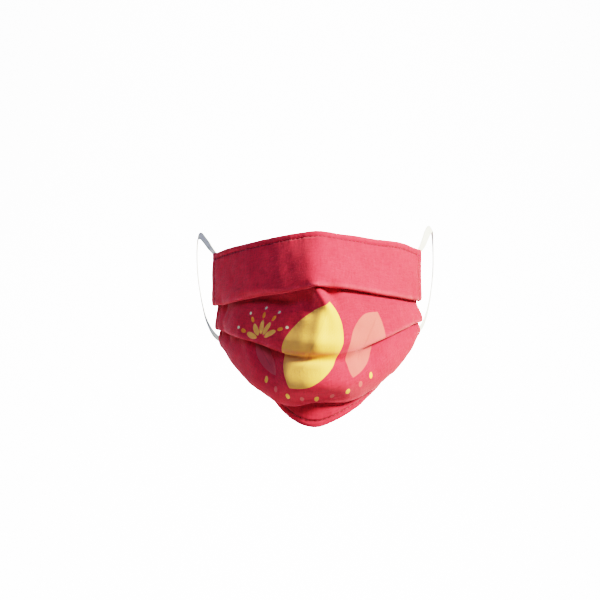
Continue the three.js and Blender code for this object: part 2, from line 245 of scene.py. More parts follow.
class MaskSizes(bpy.types.PropertyGroup):
    breadth: length("Breadth", "Between the side hems at the top edge", 0.133)
    height: length("Height", "Middle of the top edge down to the lowest point", 0.1234)
    depth: length("Depth", "Foremost point back to the side hems", 0.076)
    cloth_wall: length("Cloth wall", "Thickness of the two plies of cotton", 0.0012)
    hem_wall: length("Hem wall", "Thickness of the turned and stitched hems", 0.0015)
    edge_hem: length("Edge hem", "Height of the top and bottom hems", 0.004)
    side_hem: length("Side hem", "Width of the side hems", 0.0056)
    seam_gap: length("Seam gap", "Groove between hem and cloth", 0.00034)
    fold_gap: length("Fold gap", "Air between the layers of a pleat", 0.00042)
    pleat_depth: length("Pleat depth", "How far a closed pleat reaches up", 0.0135)
    ripple: length("Ripple", "Unit of the soft ridges and dents", 0.01)
    pucker: length("Pucker", "Height of the gathers beside the seams", 0.0001)
    flap: length("Flap", "Turned-in cloth behind each seam", 0.0024)
    side_tuck: bpy.props.FloatProperty(
        name="Side tuck", description="How far round the sides wrap", default=0.93, min=0.1, max=0.99
    )
    flat_width: length("Flat width", "Width of the cloth before it is worn", 0.185)
    flat_height: length("Flat height", "Height of the cloth before it is pleated", 0.17)
    band_width: length("Band width", "Width of the elastic", 0.005)
    band_wall: length("Band wall", "Thickness of the elastic", 0.001)
    band_gap: length("Band gap", "Between a sewn end and the hem", 0.0005)
    band_sewn: length("Sewn end", "How far in from the side edge an end is sewn", 0.008)
    band_inset: length("Band inset", "From the band to the edge of the cloth", 0.0006)
    band_reach: length("Loop reach", "From the side hem back to the rear of a loop", 0.053)
    stitch: length("Stitch", "Length of one topstitch", 0.0024)
    thread: length("Thread", "Thickness of the sewing thread", 0.00034)


class MaskColours(bpy.types.PropertyGroup):
    cotton: colour("Cotton", "Ground colour of the cloth", (0.6, 0.018, 0.046))
    lining: colour("Inner face", "Colour of the unprinted inner face", (0.6, 0.05, 0.085))
    faded: colour("Faded", "Cloth rubbed pale on its folds and hems", (0.72, 0.09, 0.13))
    # Painted shade: the colour that the cloth is darkened towards under the fold lips and in the
    # seam grooves.
    painted_shade_colour: colour("Deep", "Cloth sheltered under the folds and in the seams", (0.24, 0.003, 0.034))
    thread: colour("Thread", "Sewing thread", (0.46, 0.02, 0.045))
    elastic: colour("Elastic", "Ear loops", (0.78, 0.78, 0.77))
    leaf: colour("Large leaf", "Soft yellow of the large printed leaf", (0.92, 0.45, 0.11))
    petal: colour("Small leaf", "Salmon pink of the small printed leaf", (0.64, 0.1, 0.105))
    seed: colour("Seeds", "Orange of the printed seeds", (0.9, 0.3, 0.04))
    pip: colour("Pips", "Cream of the printed pips", (0.95, 0.82, 0.55))
    floor: colour("Floor", "Floor and backdrop", (0.92, 0.92, 0.92))


# The worn form of the cloth


def run_along(points):
    """Distance along a line of points, from the first one."""
    steps = np.linalg.norm(np.diff(points, axis=0), axis=1)
    return np.concatenate([[0], np.cumsum(steps)])


def unit(direction):
    """The same direction, one long."""
    return direction / np.linalg.norm(direction)


def near(away, reach):
    """Share that falls off smoothly with the distance, within about its reach."""
    return np.exp(-((away / reach) ** 2))


class Curve:
    """Smooth curve through values at uneven knots, each with the slope of its neighbours."""

    def __init__(self, knots, values):
        self.knots = np.asarray(knots, float)
        self.values = np.asarray(values, float)
        if self.values.ndim == 1:
            self.values = self.values[:, None]
        step = np.diff(self.knots)[:, None]
        chord = np.diff(self.values, axis=0) / step
        weight = step[:-1] / (step[:-1] + step[1:])
        inner = chord[:-1] * (1 - weight) + chord[1:] * weight
        self.slopes = np.vstack([chord[:1], inner, chord[-1:]])

    def __call__(self, at):
        at = np.atleast_1d(np.asarray(at, float))
        i = np.clip(np.searchsorted(self.knots, at, side="left") - 1, 0, len(self.knots) - 2)
        width = self.knots[i + 1] - self.knots[i]
        t = np.clip((at - self.knots[i]) / width, 0, 1)
        rise = (t * t * (3 - 2 * t))[:, None]
        early = (t * (1 - t) ** 2 * width)[:, None]
        late = (t * t * (t - 1) * width)[:, None]
        low, high = self.values[i], self.values[i + 1]
        return low * (1 - rise) + high * rise + self.slopes[i] * early + self.slopes[i + 1] * late


class Section:
    """A line from hem to hem, read by its share of each half's own length."""

    def __init__(self, row, sizes):
        self.row = row
        self.half = sizes.breadth / 2
        self.height = sizes.height
        self.front = row["front"] * sizes.depth - sizes.hem_wall / 2
        self.back = row["back"] * sizes.depth
        self.tuck = sizes.side_tuck
        self.drop = Curve(STATIONS, row["drop"])
        self.shares = np.sin(np.linspace(0, math.pi / 2, 65))
        self.lengths = [run_along(self.place(side * self.shares)) for side in (-1, 1)]

    def place(self, share):
        """Points at shares of the half widths."""
        row = self.row
        half = self.half * np.where(share < 0, row["left"], row["right"])
        full = math.hypot(1, row["round"]) - row["round"]
        out = (np.hypot(share, row["round"]) - row["round"]) / full
        wrap = 1 - np.sqrt(1 - self.tuck * np.minimum(out, 1))
        wrap /= 1 - math.sqrt(1 - self.tuck)
        y = self.front + (self.back - self.front) * wrap
        return np.stack([share * half, y, -self.drop(share)[:, 0] * self.height], axis=1)

    def at(self, u):
        """Point at a share of the half's own length, a little past its end too."""
        marks = self.lengths[0 if u < 0 else 1]
        wanted = abs(u) * marks[-1]
        last, before = self.shares[-1], self.shares[-2]
        share = np.interp(wanted, marks, self.shares)
        if wanted > marks[-1]:
            share = last + (last - before) * (wanted - marks[-1]) / (marks[-1] - marks[-2])
        return self.place(np.array([math.copysign(share, u)]))[0]

    def half_length(self):
        return self.lengths[1][-1]


class Column:
    """One upright line of the worn form, by the distance s down the cloth."""

    def __init__(self, points):
        self.knots = run_along(points)
        self.line = Curve(self.knots, points)

    def row_of(self, s):
        """Place among the section rows of a distance down."""
        i = np.clip(np.searchsorted(self.knots, s, side="left") - 1, 0, len(self.knots) - 2)
        return i + (s - self.knots[i]) / (self.knots[i + 1] - self.knots[i])

    def length_at(self, row):
        """Distance down of a place among the section rows."""
        i = np.clip(np.floor(row).astype(int), 0, len(self.knots) - 2)
        return self.knots[i] + (row - i) * (self.knots[i + 1] - self.knots[i])


class WornForm:
    """The cloth as it lies when worn: u runs from hem to hem, s down the cloth, n outwards."""

    # Small distances over which the form's slope is read, across and down.
    NEXT_SHARE = 0.004
    NEXT_DOWN = 0.0004

    def __init__(self, sizes):
        self.sizes = sizes
        self.sections = [Section(row, sizes) for row in SECTIONS.values()]
        self.half_cloth = self.sections[2].half_length()
        self.hem_start = 1 - sizes.side_hem / self.half_cloth
        self.stop = self.hem_start - sizes.seam_gap / self.half_cloth
        self.turn_radius = (sizes.hem_wall + sizes.fold_gap) / 2
        self.closed = [Curve(PLEAT_STATIONS, pleat["closed"]) for pleat in PLEATS]
        self.columns = {}

    def column(self, u):
        if u not in self.columns:
            self.columns[u] = Column(np.array([line.at(u) for line in self.sections]))
        return self.columns[u]

    def dents(self, u, column, s):
        """Height of the soft ridges, dents, gathers and waves over the smooth form."""
        ripple = self.sizes.ripple
        height = np.zeros_like(s)
        for dent in DENTS:
            side = (u - dent["across"]) * self.half_cloth / ripple
            down = (s - column.length_at(np.array(dent["down"]))) / ripple
            lean = math.radians(dent["lean"])
            along = down * math.cos(lean) + side * math.sin(lean)
            off = side * math.cos(lean) - down * math.sin(lean)
            shape = np.exp(-((off / dent["wide"]) ** 2) - (along / dent["long"]) ** 2)
            height += dent["rise"] * ripple * shape
        height += self.puckers(u, column, s)
        for wave in WAVES:
            lean = math.radians(wave["lean"])
            place = u * self.half_cloth * math.sin(lean) + s * math.cos(lean)
            # Two slow waves bend the crests, so that no two are alike.
            warp = 1.3 * math.sin(u * 5 + wave["start"]) + 0.9 * np.sin(s * 70 + wave["start"] * 2)
            turn = place * 2 * math.pi / wave["length"] + wave["start"] + warp
            height += wave["height"] * ripple * np.sin(turn)
        return height

    def puckers(self, u, column, s):
        """Small gathers that the stitching pulls into the cloth beside each seam."""
        sizes = self.sizes
        across = u * self.half_cloth
        beside = (1 - abs(u)) * self.half_cloth - sizes.side_hem
        height = np.zeros_like(s)
        # The shift of 10 mm keeps the bottom hem's gathers unlike the top hem's.
        for away, along in (
            (s - sizes.edge_hem, across),
            (column.knots[-1] - sizes.edge_hem - s, across + 0.01),
            (np.full_like(s, beside), s),
        ):
            gather = near(away, np.where(away > 0, GATHER_REACH, GATHER_BACK))
            # Two slower waves make the spacing uneven.
            sway = np.sin(along * 410) * 1.1 + np.sin(along * 173 + 2)
            height += sizes.pucker * gather * np.sin(along * 2 * math.pi / GATHER_PITCH + sway)
            height -= sizes.pucker * GROOVE_DEPTH * near(away, GROOVE_WIDTH)
        return height

    def place(self, u, s, n):
        """Points at share u, s down the cloth and n out from the smooth form."""
        s, n = np.atleast_1d(s).astype(float), np.atleast_1d(n).astype(float)
        here = self.column(u)
        row = here.row_of(s)
        before, after = self.column(u - self.NEXT_SHARE), self.column(u + self.NEXT_SHARE)
        across = after.line(after.length_at(row)) - before.line(before.length_at(row))
        down = here.line(s + self.NEXT_DOWN) - here.line(s - self.NEXT_DOWN)
        out = np.cross(down, across)
        size = np.linalg.norm(out, axis=1)[:, None]
        out /= np.where(size > 0, size, 1)
        height = n + self.dents(u, here, s)
        return here.line(s) + out * height[:, None]

    def folds(self, u):
        """Edge, turn, depth and step of each pleat at share u, and where the cloth ends."""
        knots = self.column(u).knots
        found = []
        for pleat, closed in zip(PLEATS, self.closed):
            shut = min(float(closed(u)[0, 0]), 1)
            # A pleat's turn is nearly whole long before the pleat lies shut.
            turn = math.pi * (1 - (1 - shut) ** 5)
            depth = self.sizes.pleat_depth * shut
            step = 2 * self.turn_radius * (1 - math.cos(turn)) + depth * math.sin(turn)
            found.append((knots[pleat["edge"]], turn, depth, step))
        return found, knots[-1]

    def panel_height(self, k, u, s):
        """Height of panel k: it starts a step in and comes out to its own lower edge."""
        folds, end = self.folds(u)
        if k == 0:
            return np.zeros_like(s)
        edge, _, _, step = folds[k - 1]
        below = folds[k][0] if k < len(folds) else end
        t = np.clip((s - edge) / (below - edge), 0, 1)
        shown = -step * (1 - t * t * (3 - 2 * t))
        return np.where(s < edge, self.panel_height(k - 1, u, s) - step, shown)

    def whole(self, u, top=0, bottom=0):
        """Path down the whole cloth, with every pleat, as s and n."""
        folds, end = self.folds(u)
        r = self.turn_radius
        path_s, path_n = [], []
        for k, steps in enumerate(PANELS):
            start = top
            if k:
                edge, turn, depth, _ = folds[k - 1]
                start = edge + 2 * r * math.sin(turn) + depth * math.cos(turn)
            stop = folds[k][0] if k < len(folds) else end - bottom
            shares = np.linspace(0, 1, steps + 1)[(1 if k else 0) :]
            s = start + (stop - start) * shares
            path_s.append(s)
            path_n.append(self.panel_height(k, u, s))
            if k == len(folds):
                continue
            edge, turn, depth, _ = folds[k]
            i = np.arange(1, 2 * TURNS + RUN + 1)
            first = turn * np.minimum(i / TURNS, 1)
            run = depth * np.clip((i - TURNS) / RUN, 0, 1)
            second = turn * (1 - np.clip((i - TURNS - RUN) / TURNS, 0, 1))
            s = edge + r * np.sin(first) + run * math.cos(turn)
            s += r * (math.sin(turn) - np.sin(second))
            n = -r * (1 - np.cos(first)) - run * math.sin(turn)
            n -= r * (np.cos(second) - math.cos(turn))
            path_s.append(s)
            path_n.append(n + self.panel_height(k, u, s))
        return np.concatenate(path_s), np.concatenate(path_n)

    def wear(self, u, s, n):
        """Rubbing on fold lips and hems, painted shade under the lips and in seams, from 0 to 1."""
        sizes = self.sizes
        folds, end = self.folds(u)
        beside = (1 - abs(u)) * self.half_cloth
        rub = near(s, RUB_EDGE) + near(end - s, RUB_EDGE) + near(beside, RUB_EDGE)
        rub += RUB_HEM * (beside < sizes.side_hem)
        # Painted shade along the seams, in their grooves.
        seam = sizes.edge_hem + sizes.seam_gap / 2
        painted_shade = near(s - seam, SHADE_SEAM) + near(end - s - seam, SHADE_SEAM)
        painted_shade += near(beside - sizes.side_hem - sizes.seam_gap / 2, SHADE_SEAM)
        painted_shade *= SEAM_DARK
        for k, (edge, _, _, step) in enumerate(folds):
            inward = self.panel_height(k, u, s) - n
            rub += near(s - edge, RUB_LIP) * (inward < ON_LIP * step)
            # Painted shade under this fold's lip, on cloth that lies well inwards of it.
            below = (s - edge + LIP_ROUND) / SHADE_LIP
            hidden = np.where(below > 0, np.exp(-below), 1) * (inward > UNDER_LIP * step)
            painted_shade += hidden * min(step / FULL_STEP, 1) * LIP_DARK
        return np.stack([np.minimum(rub, 1), np.minimum(painted_shade, 1)], axis=1)


# Meshes


def fresh(name, primitive, **settings):
    """A new primitive under its name, alone in the selection."""
    bpy.ops.object.select_all(action="DESELECT")
    primitive(**settings)
    piece = bpy.context.object
    piece.name = piece.data.name = name
    return piece


def reshape(piece, points, faces):
    """Give a primitive its own points and faces."""
    piece.data.clear_geometry()
    piece.data.from_pydata([tuple(point) for point in points], [], faces)
    piece.data.update()


def outward():
    """Turn the faces of the selected closed piece outwards."""
    bpy.ops.object.mode_set(mode="EDIT")
    bpy.ops.mesh.select_all(action="SELECT")
    bpy.ops.mesh.normals_make_consistent(inside=False)
    bpy.ops.object.mode_set(mode="OBJECT")


def corners(mesh):
    """The point at each face corner."""
    corner = np.zeros(len(mesh.loops), int)
    mesh.loops.foreach_get("vertex_index", corner)
    return corner


def walls(s, n, outer, inner):
    """The two faces of a path in s and n, each at its own distance from it."""
    ds, dn = np.gradient(s), np.gradient(n)
    run = np.hypot(ds, dn)
    off_s, off_n = -dn / run, ds / run
    return (s + off_s * outer, n + off_n * outer), (s - off_s * inner, n - off_n * inner)


def cloth(name, outside, inside, flat, wear, materials):
    """A walled sheet: a grid of quads with a solid wall, both faces laid by code.

    outside and inside are arrays of points, one row for each line across. flat holds the place
    of each point on the flat cloth, and the next array its rubbing and its painted shade under
    the lips and in the seams; both become UV maps.
    """
    across, down = outside.shape[0] - 1, outside.shape[1] - 1
    grid = bpy.ops.mesh.primitive_grid_add
    piece = fresh(name, grid, x_subdivisions=across, y_subdivisions=down, size=1)
    mesh = piece.data
    spots = np.zeros(len(mesh.vertices) * 3)
    mesh.vertices.foreach_get("co", spots)
    spots = spots.reshape(-1, 3)
    column = np.rint((spots[:, 0] + 0.5) * across).astype(int)
    line = np.rint((0.5 - spots[:, 1]) * down).astype(int)
    corner = corners(mesh)
    mesh.uv_layers[0].name = "cloth"
    mesh.uv_layers[0].data.foreach_set("uv", flat[column, line][corner].ravel())
    # This second UV map carries the rubbing and the painted shade under the lips and in the seams.
    worn = mesh.uv_layers.new(name="wear", do_init=False)
    worn.data.foreach_set("uv", wear[column, line][corner].ravel())
    for material in materials:
        mesh.materials.append(material)
    wall = piece.modifiers.new("wall", "SOLIDIFY")
    wall.thickness = 0.01
    wall.offset = 0
    wall.material_offset = 1
    bpy.ops.object.modifier_apply(modifier="wall")
    both = np.concatenate([outside[column, line], inside[column, line]])
    piece.data.vertices.foreach_set("co", both.ravel())
    piece.data.update()
    bpy.ops.object.shade_smooth()
    return piece


def sheet(form, name, edges, path, outer, inner, flat_of, materials, straight_out=False):
    """A cloth piece between the shares in edges, along path(u) for each of them.

    outer and inner hold, for each share, the distances of the two faces from the path, square
    to it or, with straight_out, square to the form.
    """
    outside, inside, flat, wear = [], [], [], []
    for u, over, under in zip(edges, outer, inner):
        s, n = path(u)
        faces = ((s, n + over), (s, n - under)) if straight_out else walls(s, n, over, under)
        outside.append(form.place(u, *faces[0]))
        inside.append(form.place(u, *faces[1]))
        flat.append(flat_of(u, s, n))
        wear.append(form.wear(u, s, n))
    return cloth(name, *[np.array(rows) for rows in (outside, inside, flat, wear)], materials)


# Finishes


class Wire:
    """A shader socket that takes part in Python expressions on values."""

    def __init__(self, finish, socket):
        self.finish = finish
        self.socket = socket

    def math(self, operation, *others):
        made = self.finish.node("ShaderNodeMath", {"operation": operation}, *[self, *others])
        return Wire(self.finish, made.outputs[0])

    def __add__(self, other):
        return self.math("ADD", other)

    def __sub__(self, other):
        return self.math("SUBTRACT", other)

    def __mul__(self, other):
        return self.math("MULTIPLY", other)

    def __truediv__(self, other):
        return self.math("DIVIDE", other)

    __radd__ = __add__
    __rmul__ = __mul__

    def __rsub__(self, other):
        return (self * -1) + other

    def __abs__(self):
        return self.math("ABSOLUTE")

    def sin(self):
        return self.math("SINE")

    def root(self):
        return self.math("SQRT")

    def nearest(self):
        return self.math("ROUND")

    def least(self, other):
        return self.math("MINIMUM", other)

    def most(self, other):
        return self.math("MAXIMUM", other)

    def clamp(self):
        return self.most(0.0).least(1.0)


class Finish:
    """A material in the making: every node comes from node(), every value is a Wire."""

    def __init__(self, name):
        self.material = bpy.data.materials.new(name)
        self.material.use_nodes = True
        self.tree = self.material.node_tree
        self.tree.nodes.clear()

    def feed(self, socket, value):
        """Link a Wire to a socket, or set a number or colour on it."""
        if isinstance(value, Wire):
            self.tree.links.new(value.socket, socket)
        elif socket.type == "RGBA":
            socket.default_value = (*value, 1)
        else:
            socket.default_value = value

    def node(self, kind, settings=None, *values, **named):
        """A node of a type, with its settings and the values of its sockets."""
        made = self.tree.nodes.new(kind)
        for key, value in (settings or {}).items():
            setattr(made, key, value)
        for key, value in [*enumerate(values), *named.items()]:
            self.feed(made.inputs[key if isinstance(key, int) else key.replace("_", " ")], value)
        return made

    def wire(self, made, output=0):
        return Wire(self, made.outputs[output])

    def mix(self, share, first, second):
        """Colour between two colours."""
        made = self.node("ShaderNodeMix", {"data_type": "RGBA"})
        for socket, value in ((0, share), (6, first), (7, second)):
            self.feed(made.inputs[socket], value)
        return self.wire(made, 2)

    def noise(self, place, scale, detail=2.0):
        """Noise from 0 to 1, in cells per metre."""
        kind = "ShaderNodeTexNoise"
        return self.wire(self.node(kind, None, Vector=place, Scale=scale, Detail=detail))

    def flat_place(self, layer):
        """The piece's own UV map as a place, and its two parts."""
        uv = self.wire(self.node("ShaderNodeUVMap", {"uv_map": layer}))
        parts = self.node("ShaderNodeSeparateXYZ", None, uv)
        return uv, self.wire(parts, 0), self.wire(parts, 1)

    def finish(self, colour, roughness, height=None, relief=0.0001, **constants):
        """The finished material, with its height as a bump of the given relief."""
        kind = "ShaderNodeBsdfPrincipled"
        shader = self.node(kind, None, Base_Color=colour, Roughness=roughness, **constants)
        if height is not None:
            bump = self.node("ShaderNodeBump", None, Strength=1.0, Distance=relief, Height=height)
            self.feed(shader.inputs["Normal"], self.wire(bump))
        self.node("ShaderNodeOutputMaterial", None, self.wire(shader))
        return self.material


def toned(colour, factor, lift=0.0, most=1.0):
    """A colour made darker or lighter."""
    return [min(part * factor + lift, most) for part in colour]


def turned(x, y, centre, degrees):
    """Place about a centre, in axes turned by an angle."""
    dx, dy = x - centre[0], y - centre[1]
    c, s = math.cos(math.radians(degrees)), math.sin(math.radians(degrees))
    return dx * c + dy * s, dy * c - dx * s


def ink(distance, soft=0.00022):
    """Share of ink where a signed distance is below 0."""
    return (0.5 - distance / soft).clamp()


def leaf_shape(x, y, centre, long, wide, lean):
    """Signed distance to a pointed leaf between two arcs, and the place along its rib."""
    across, along = turned(x, y, centre, lean)
    radius = (long**2 + wide**2) / (4 * wide)
    side = abs(across) + (radius - wide / 2)
    return (side * side + along * along).root() - radius, across, along


def oval(x, y, centre, wide, long, lean=0.0):
    """Signed distance to an oval, near its edge."""
    a, b = turned(x, y, centre, lean)
    a, b = a / (wide / 2), b / (long / 2)
    return ((a * a + b * b).root() - 1) * (wide / 2)


def weave_height(x, y, wander):
    """Height of a plain weave, over and under in turn."""
    a = (x + wander * WEAVE_PITCH * 0.5) * (math.pi / WEAVE_PITCH)
    b = (y + wander * WEAVE_PITCH * 0.5) * (math.pi / WEAVE_PITCH)
    return a.sin() * b.sin() * 0.5 + 0.5


# The print, on the flat cloth: metres from the middle of the width and from the top edge.
LEAVES = table(
    "colour across down long wide lean",
    ("leaf", -0.003, 0.087, 0.06, 0.034, 22),
    ("petal", 0.031, 0.093, 0.048, 0.024, 30),
    ("petal", -0.036, 0.1065, 0.024, 0.0115, -60),
)
SPRAY = dict(across=-0.0378, down=0.082, leans=(-68, -34, 0, 34, 68))
SPRAY_ROWS = table(
    "colour reach wide long",
    ("leaf", 0.0078, 0.0036, 0.0088),
    ("seed", 0.0155, 0.0024, 0.004),
    ("pip", 0.0203, 0.0019, 0.0021),
)
BORDER = dict(down=0.1225, pitch=0.0078, each_side=4, sag=0.00022, wide=0.0024, long=0.0042)


def streaks(f, x, y, along, across):
    """Uneven threads: noise drawn out along one way of the cloth, in cells per metre."""
    place = f.wire(f.node("ShaderNodeCombineXYZ", None, x * along, y * across))
    return f.noise(place, 1.0) - 0.5


def print_on(f, colours, ground, tone, x, y):
    """The printed leaves, spray and border, laid over the ground colour."""

    def lay(over, under, mask):
        shade = getattr(colours, over)
        return f.mix(mask * 0.97, under, f.mix(tone, toned(shade, 0.88), shade))

    colour = ground
    leaf_before = None
    for row in LEAVES:
        centre = (row["across"], row["down"])
        edge, across, along = leaf_shape(x, y, centre, row["long"], row["wide"], row["lean"])
        # Each leaf leaves a narrow bare line round the one before it.
        clear = 1.0 if leaf_before is None else 1 - ink(leaf_before - 0.0012)
        leaf_before = edge
        colour = lay(row["colour"], colour, ink(edge) * clear)
        rib = ink(abs(across) - 0.0005) * ink(abs(along + 0.003) - row["long"] * 0.33) * clear
        colour = f.mix(rib * 0.5, colour, toned(getattr(colours, row["colour"]), 0.72))
    for lean in SPRAY["leans"]:
        a = math.radians(lean)
        for row in SPRAY_ROWS:
            reach = row["reach"]
            centre = (SPRAY["across"] + reach * math.sin(a), SPRAY["down"] - reach * math.cos(a))
            mask = ink(oval(x, y, centre, row["wide"], row["long"], lean))
            colour = lay(row["colour"], colour, mask)
    pitch, sides = BORDER["pitch"], BORDER["each_side"]
    cell = (x / pitch).nearest().most(-sides).least(sides)
    dip = cell * cell * BORDER["sag"]
    centre = (0, BORDER["down"])
    mask = ink(oval(x - cell * pitch, y + dip, centre, BORDER["wide"], BORDER["long"]))
    odd = (cell * (math.pi / 2)).sin()
    colour = lay("leaf", colour, mask * (1 - odd * odd))
    return lay("petal", colour, mask * odd * odd)


def cotton_finish(name, colours, printed):
    """Woven cotton, with the print on its outer face or plain."""
    f = Finish(name)
    place, x, y = f.flat_place("cloth")
    # Rubbing, and painted shade under the fold lips and in the seams, from the second UV map.
    _, rub, painted_shade = f.flat_place("wear")
    wander = f.noise(place, 60.0, 3.0) - 0.5
    x = x + wander * 0.0006
    y = y + wander * 0.0006
    threads = f.noise(place, 1500.0) - 0.5
    slubs = streaks(f, x, y, 150.0, 1200.0) + streaks(f, x, y, 1200.0, 150.0)
    mottle = f.noise(place, 620.0) - 0.5
    cloud = f.noise(place, 22.0, 3.0) - 0.5
    ground = colours.cotton if printed else colours.lining
    share = (cloud * 0.9 + threads * 0.7 + slubs * 0.9 + mottle * 0.8 + 0.5).clamp()
    colour = f.mix(share, toned(ground, 0.76), toned(ground, 1.16, 0.014))
    if printed:
        tone = (cloud * 0.6 + threads * 0.5 + mottle * 0.6 + 0.5).clamp()
        colour = print_on(f, colours, colour, tone, x, y)
    patchy = (mottle * 1.2 + cloud + 0.75).clamp()
    colour = f.mix(rub * patchy * 0.4, colour, colours.faded)
    # Painted shade: darker under the fold lips and in the seam grooves.
    colour = f.mix(painted_shade * 0.75, colour, colours.painted_shade_colour)
    weave = weave_height(x, y, wander)
    fuzz = f.noise(place, 2600.0)
    rough = (f.noise(place, 300.0) * 0.12 + rub * 0.06 + 0.78).clamp()
    height = weave * 0.6 + fuzz * 0.4 + slubs * 0.6 + mottle * 0.5
    gloss = dict(Sheen_Weight=0.12, Sheen_Roughness=0.5, Specular_IOR_Level=0.3)
    return f.finish(colour, rough, height, 0.00016, **gloss)


def elastic_finish(name, colours):
    """Flat braided elastic: ribs along the band and small stitches across them."""
    f = Finish(name)
    place, x, y = f.flat_place("band")
    rib = (x * (math.pi * 2 / RIB_PITCH)).sin()
    knit = (y * (math.pi * 2 / KNIT_PITCH) + abs(rib) * 1.6).sin()
    speck = f.noise(place, 900.0, 3.0) - 0.5
    soil = f.noise(place, 60.0) - 0.5
    # The ribs and knit stitches also darken the colour where the bump dips, in their grooves:
    # painted shade. The speck and soil noise is the band's own uneven tone.
    shade = (rib * 0.16 + knit * 0.1 + speck * 0.5 + soil * 0.4 + 0.62).clamp()
    white = colours.elastic
    colour = f.mix(shade, toned(white, 0.8), toned(white, 1.06, most=0.96))
    rough = (speck * 0.15 + 0.78).clamp()
    height = rib * 0.6 + knit * 0.35
    return f.finish(colour, rough, height, 0.00012, Sheen_Weight=0.15, Sheen_Roughness=0.5)


def thread_finish(name, colours):
    """Twisted sewing thread."""
    f = Finish(name)
    place, x, y = f.flat_place("thread")
    twist = (x * 14.0 + y * 40.0).sin()
    speck = f.noise(place, 6.0) - 0.5
    # The twist also darkens the colour where the bump dips, in its grooves: painted shade.
    share = (twist * 0.3 + speck * 0.5 + 0.5).clamp()
    colour = f.mix(share, toned(colours.thread, 0.7), toned(colours.thread, 1.2))
    return f.finish(colour, (speck * 0.2 + 0.6).clamp(), twist, 0.00003, Sheen_Weight=0.2)


def finished(make, name, context, *settings):
    """The material of this name, made once."""
    colours = context.scene.mask_colours
    return bpy.data.materials.get(name) or make(name, colours, *settings)


def cotton(context):
    """The finishes of the outer and inner face."""
    return [
        finished(cotton_finish, "cotton_outer_face", context, True),
        finished(cotton_finish, "cotton_inner_face", context, False),
    ]


def dress(piece, node):
    """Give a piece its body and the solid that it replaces."""
    if node:
        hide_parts(node)
    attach(piece, "root")


# The parts of the mask


def the_form(context):
    """The worn form at the sizes in the panel."""
    return WornForm(context.scene.mask_sizes)


def flat_on(form, whole_cloth):
    """Gives each point of a path its place on the flat cloth."""
    sizes = form.sizes

    def found(u, s, n):
        whole_s, whole_n = form.whole(u)
        run = np.concatenate([[0], np.cumsum(np.hypot(np.diff(s), np.diff(n)))])
        length = np.sum(np.hypot(np.diff(whole_s), np.diff(whole_n)))
        start = s[0] if whole_cloth else 0
        down = (run + start) / length * sizes.flat_height
        return np.stack([np.full_like(down, u * sizes.flat_width / 2), down], axis=1)

    return found


def hem_path(width, flap):
    """Shares of a hem from its edge to its stitching, and distances on to the flap's end."""
    share = np.linspace(0, 1, 13)
    return share, np.concatenate([share * width, width + np.array([0, 1]) * flap])


def flap_faces(sizes, share):
    """Outer and inner distances from the path of a hem, from its folded edge to its flap.

    The hem is puffed between its folded edge, share 0, and its stitching, share 1. From there a
    turned-in flap goes on behind the cloth.
    """
    edge = np.sqrt(np.clip(1 - (1 - np.clip(share / EDGE_ROUND, 0, 1)) ** 2, 0, 1))
    body = sizes.hem_wall / 2 * (EDGE_WALL + (1 - EDGE_WALL) * edge)
    puff = PUFF * np.sin(np.clip(share / PUFF_END, 0, 1) * math.pi)
    press = PUFF * near(share - 1, PRESS_REACH)
    top = sizes.cloth_wall / 2 + FLAP_GAP
    over = np.concatenate([body + puff - press, [-top, -top]])
    under = np.concatenate([body + INNER_PUFF * edge, [top + FLAP_WALL] * 2])
    return over, under


class MASK_OT_body(bpy.types.Operator):
    """Fold the flat cloth into its three pleats over the worn form"""

    bl_idname = "mask.body"
    bl_label = "Pleated cloth"

    def execute(self, context):
        form = the_form(context)
        sizes = form.sizes
        inset = sizes.edge_hem + sizes.seam_gap
        edges = np.linspace(-form.stop, form.stop, ACROSS + 1)
        faces = [sizes.cloth_wall / 2] * len(edges)
        piece = sheet(
            form,
            "pleated_cloth",
            edges,
            lambda u: form.whole(u, inset, inset),
            faces,
            faces,
            flat_on(form, True),
            cotton(context),
        )
        dress(piece, "mask_body")
        return {"FINISHED"}


class MASK_OT_edge_hems(bpy.types.Operator):
    """Turn over the top and bottom edges into stitched hems"""

    bl_idname = "mask.edge_hems"
    bl_label = "Top and bottom hems"

    def execute(self, context):
        form = the_form(context)
        sizes = form.sizes
        edges = np.linspace(-form.stop, form.stop, ACROSS + 1)
        share, down = hem_path(sizes.edge_hem, sizes.flap)
        over, under = flap_faces(sizes, share)
        ground = flat_on(form, False)
        for name, last in (("top_hem", False), ("bottom_hem", True)):

            def path(u, last=last):
                s = form.folds(u)[1] - down[::-1] if last else down
                return s, form.panel_height(len(PLEATS) if last else 0, u, s)

            def flat_of(u, s, n, last=last):
                flat = ground(u, s, n)
                if last:
                    flat[:, 1] += sizes.flat_height - flat[-1, 1]
                return flat

            faces = (over[::-1], under[::-1]) if last else (over, under)
            piece = sheet(
                form,
                f"{name}_band",
                edges,
                path,
                [faces[0]] * len(edges),
                [faces[1]] * len(edges),
                flat_of,
                cotton(context),
                straight_out=True,
            )
            dress(piece, name)
        return {"FINISHED"}


class MASK_OT_side_hems(bpy.types.Operator):
    """Bind the pleated sides with hems that follow every fold"""

    bl_idname = "mask.side_hems"
    bl_label = "Side hems"

    def execute(self, context):
        form = the_form(context)
        sizes = form.sizes
        share, inward = hem_path(sizes.side_hem, sizes.flap)
        # No face reaches the next layer of a fold.
        most = form.turn_radius - ROOM
        faces = [np.minimum(face, most) for face in flap_faces(sizes, share)]
        for side, name in ((-1, "left"), (1, "right")):
            edges = side * (1 - inward / form.half_cloth)
            piece = sheet(
                form,
                f"side_hem_band_{name}",
                edges[::-side],
                form.whole,
                faces[0][::-side],
                faces[1][::-side],
                flat_on(form, True),
                cotton(context),
            )
            dress(piece, f"side_hem_{name}")
        return {"FINISHED"}


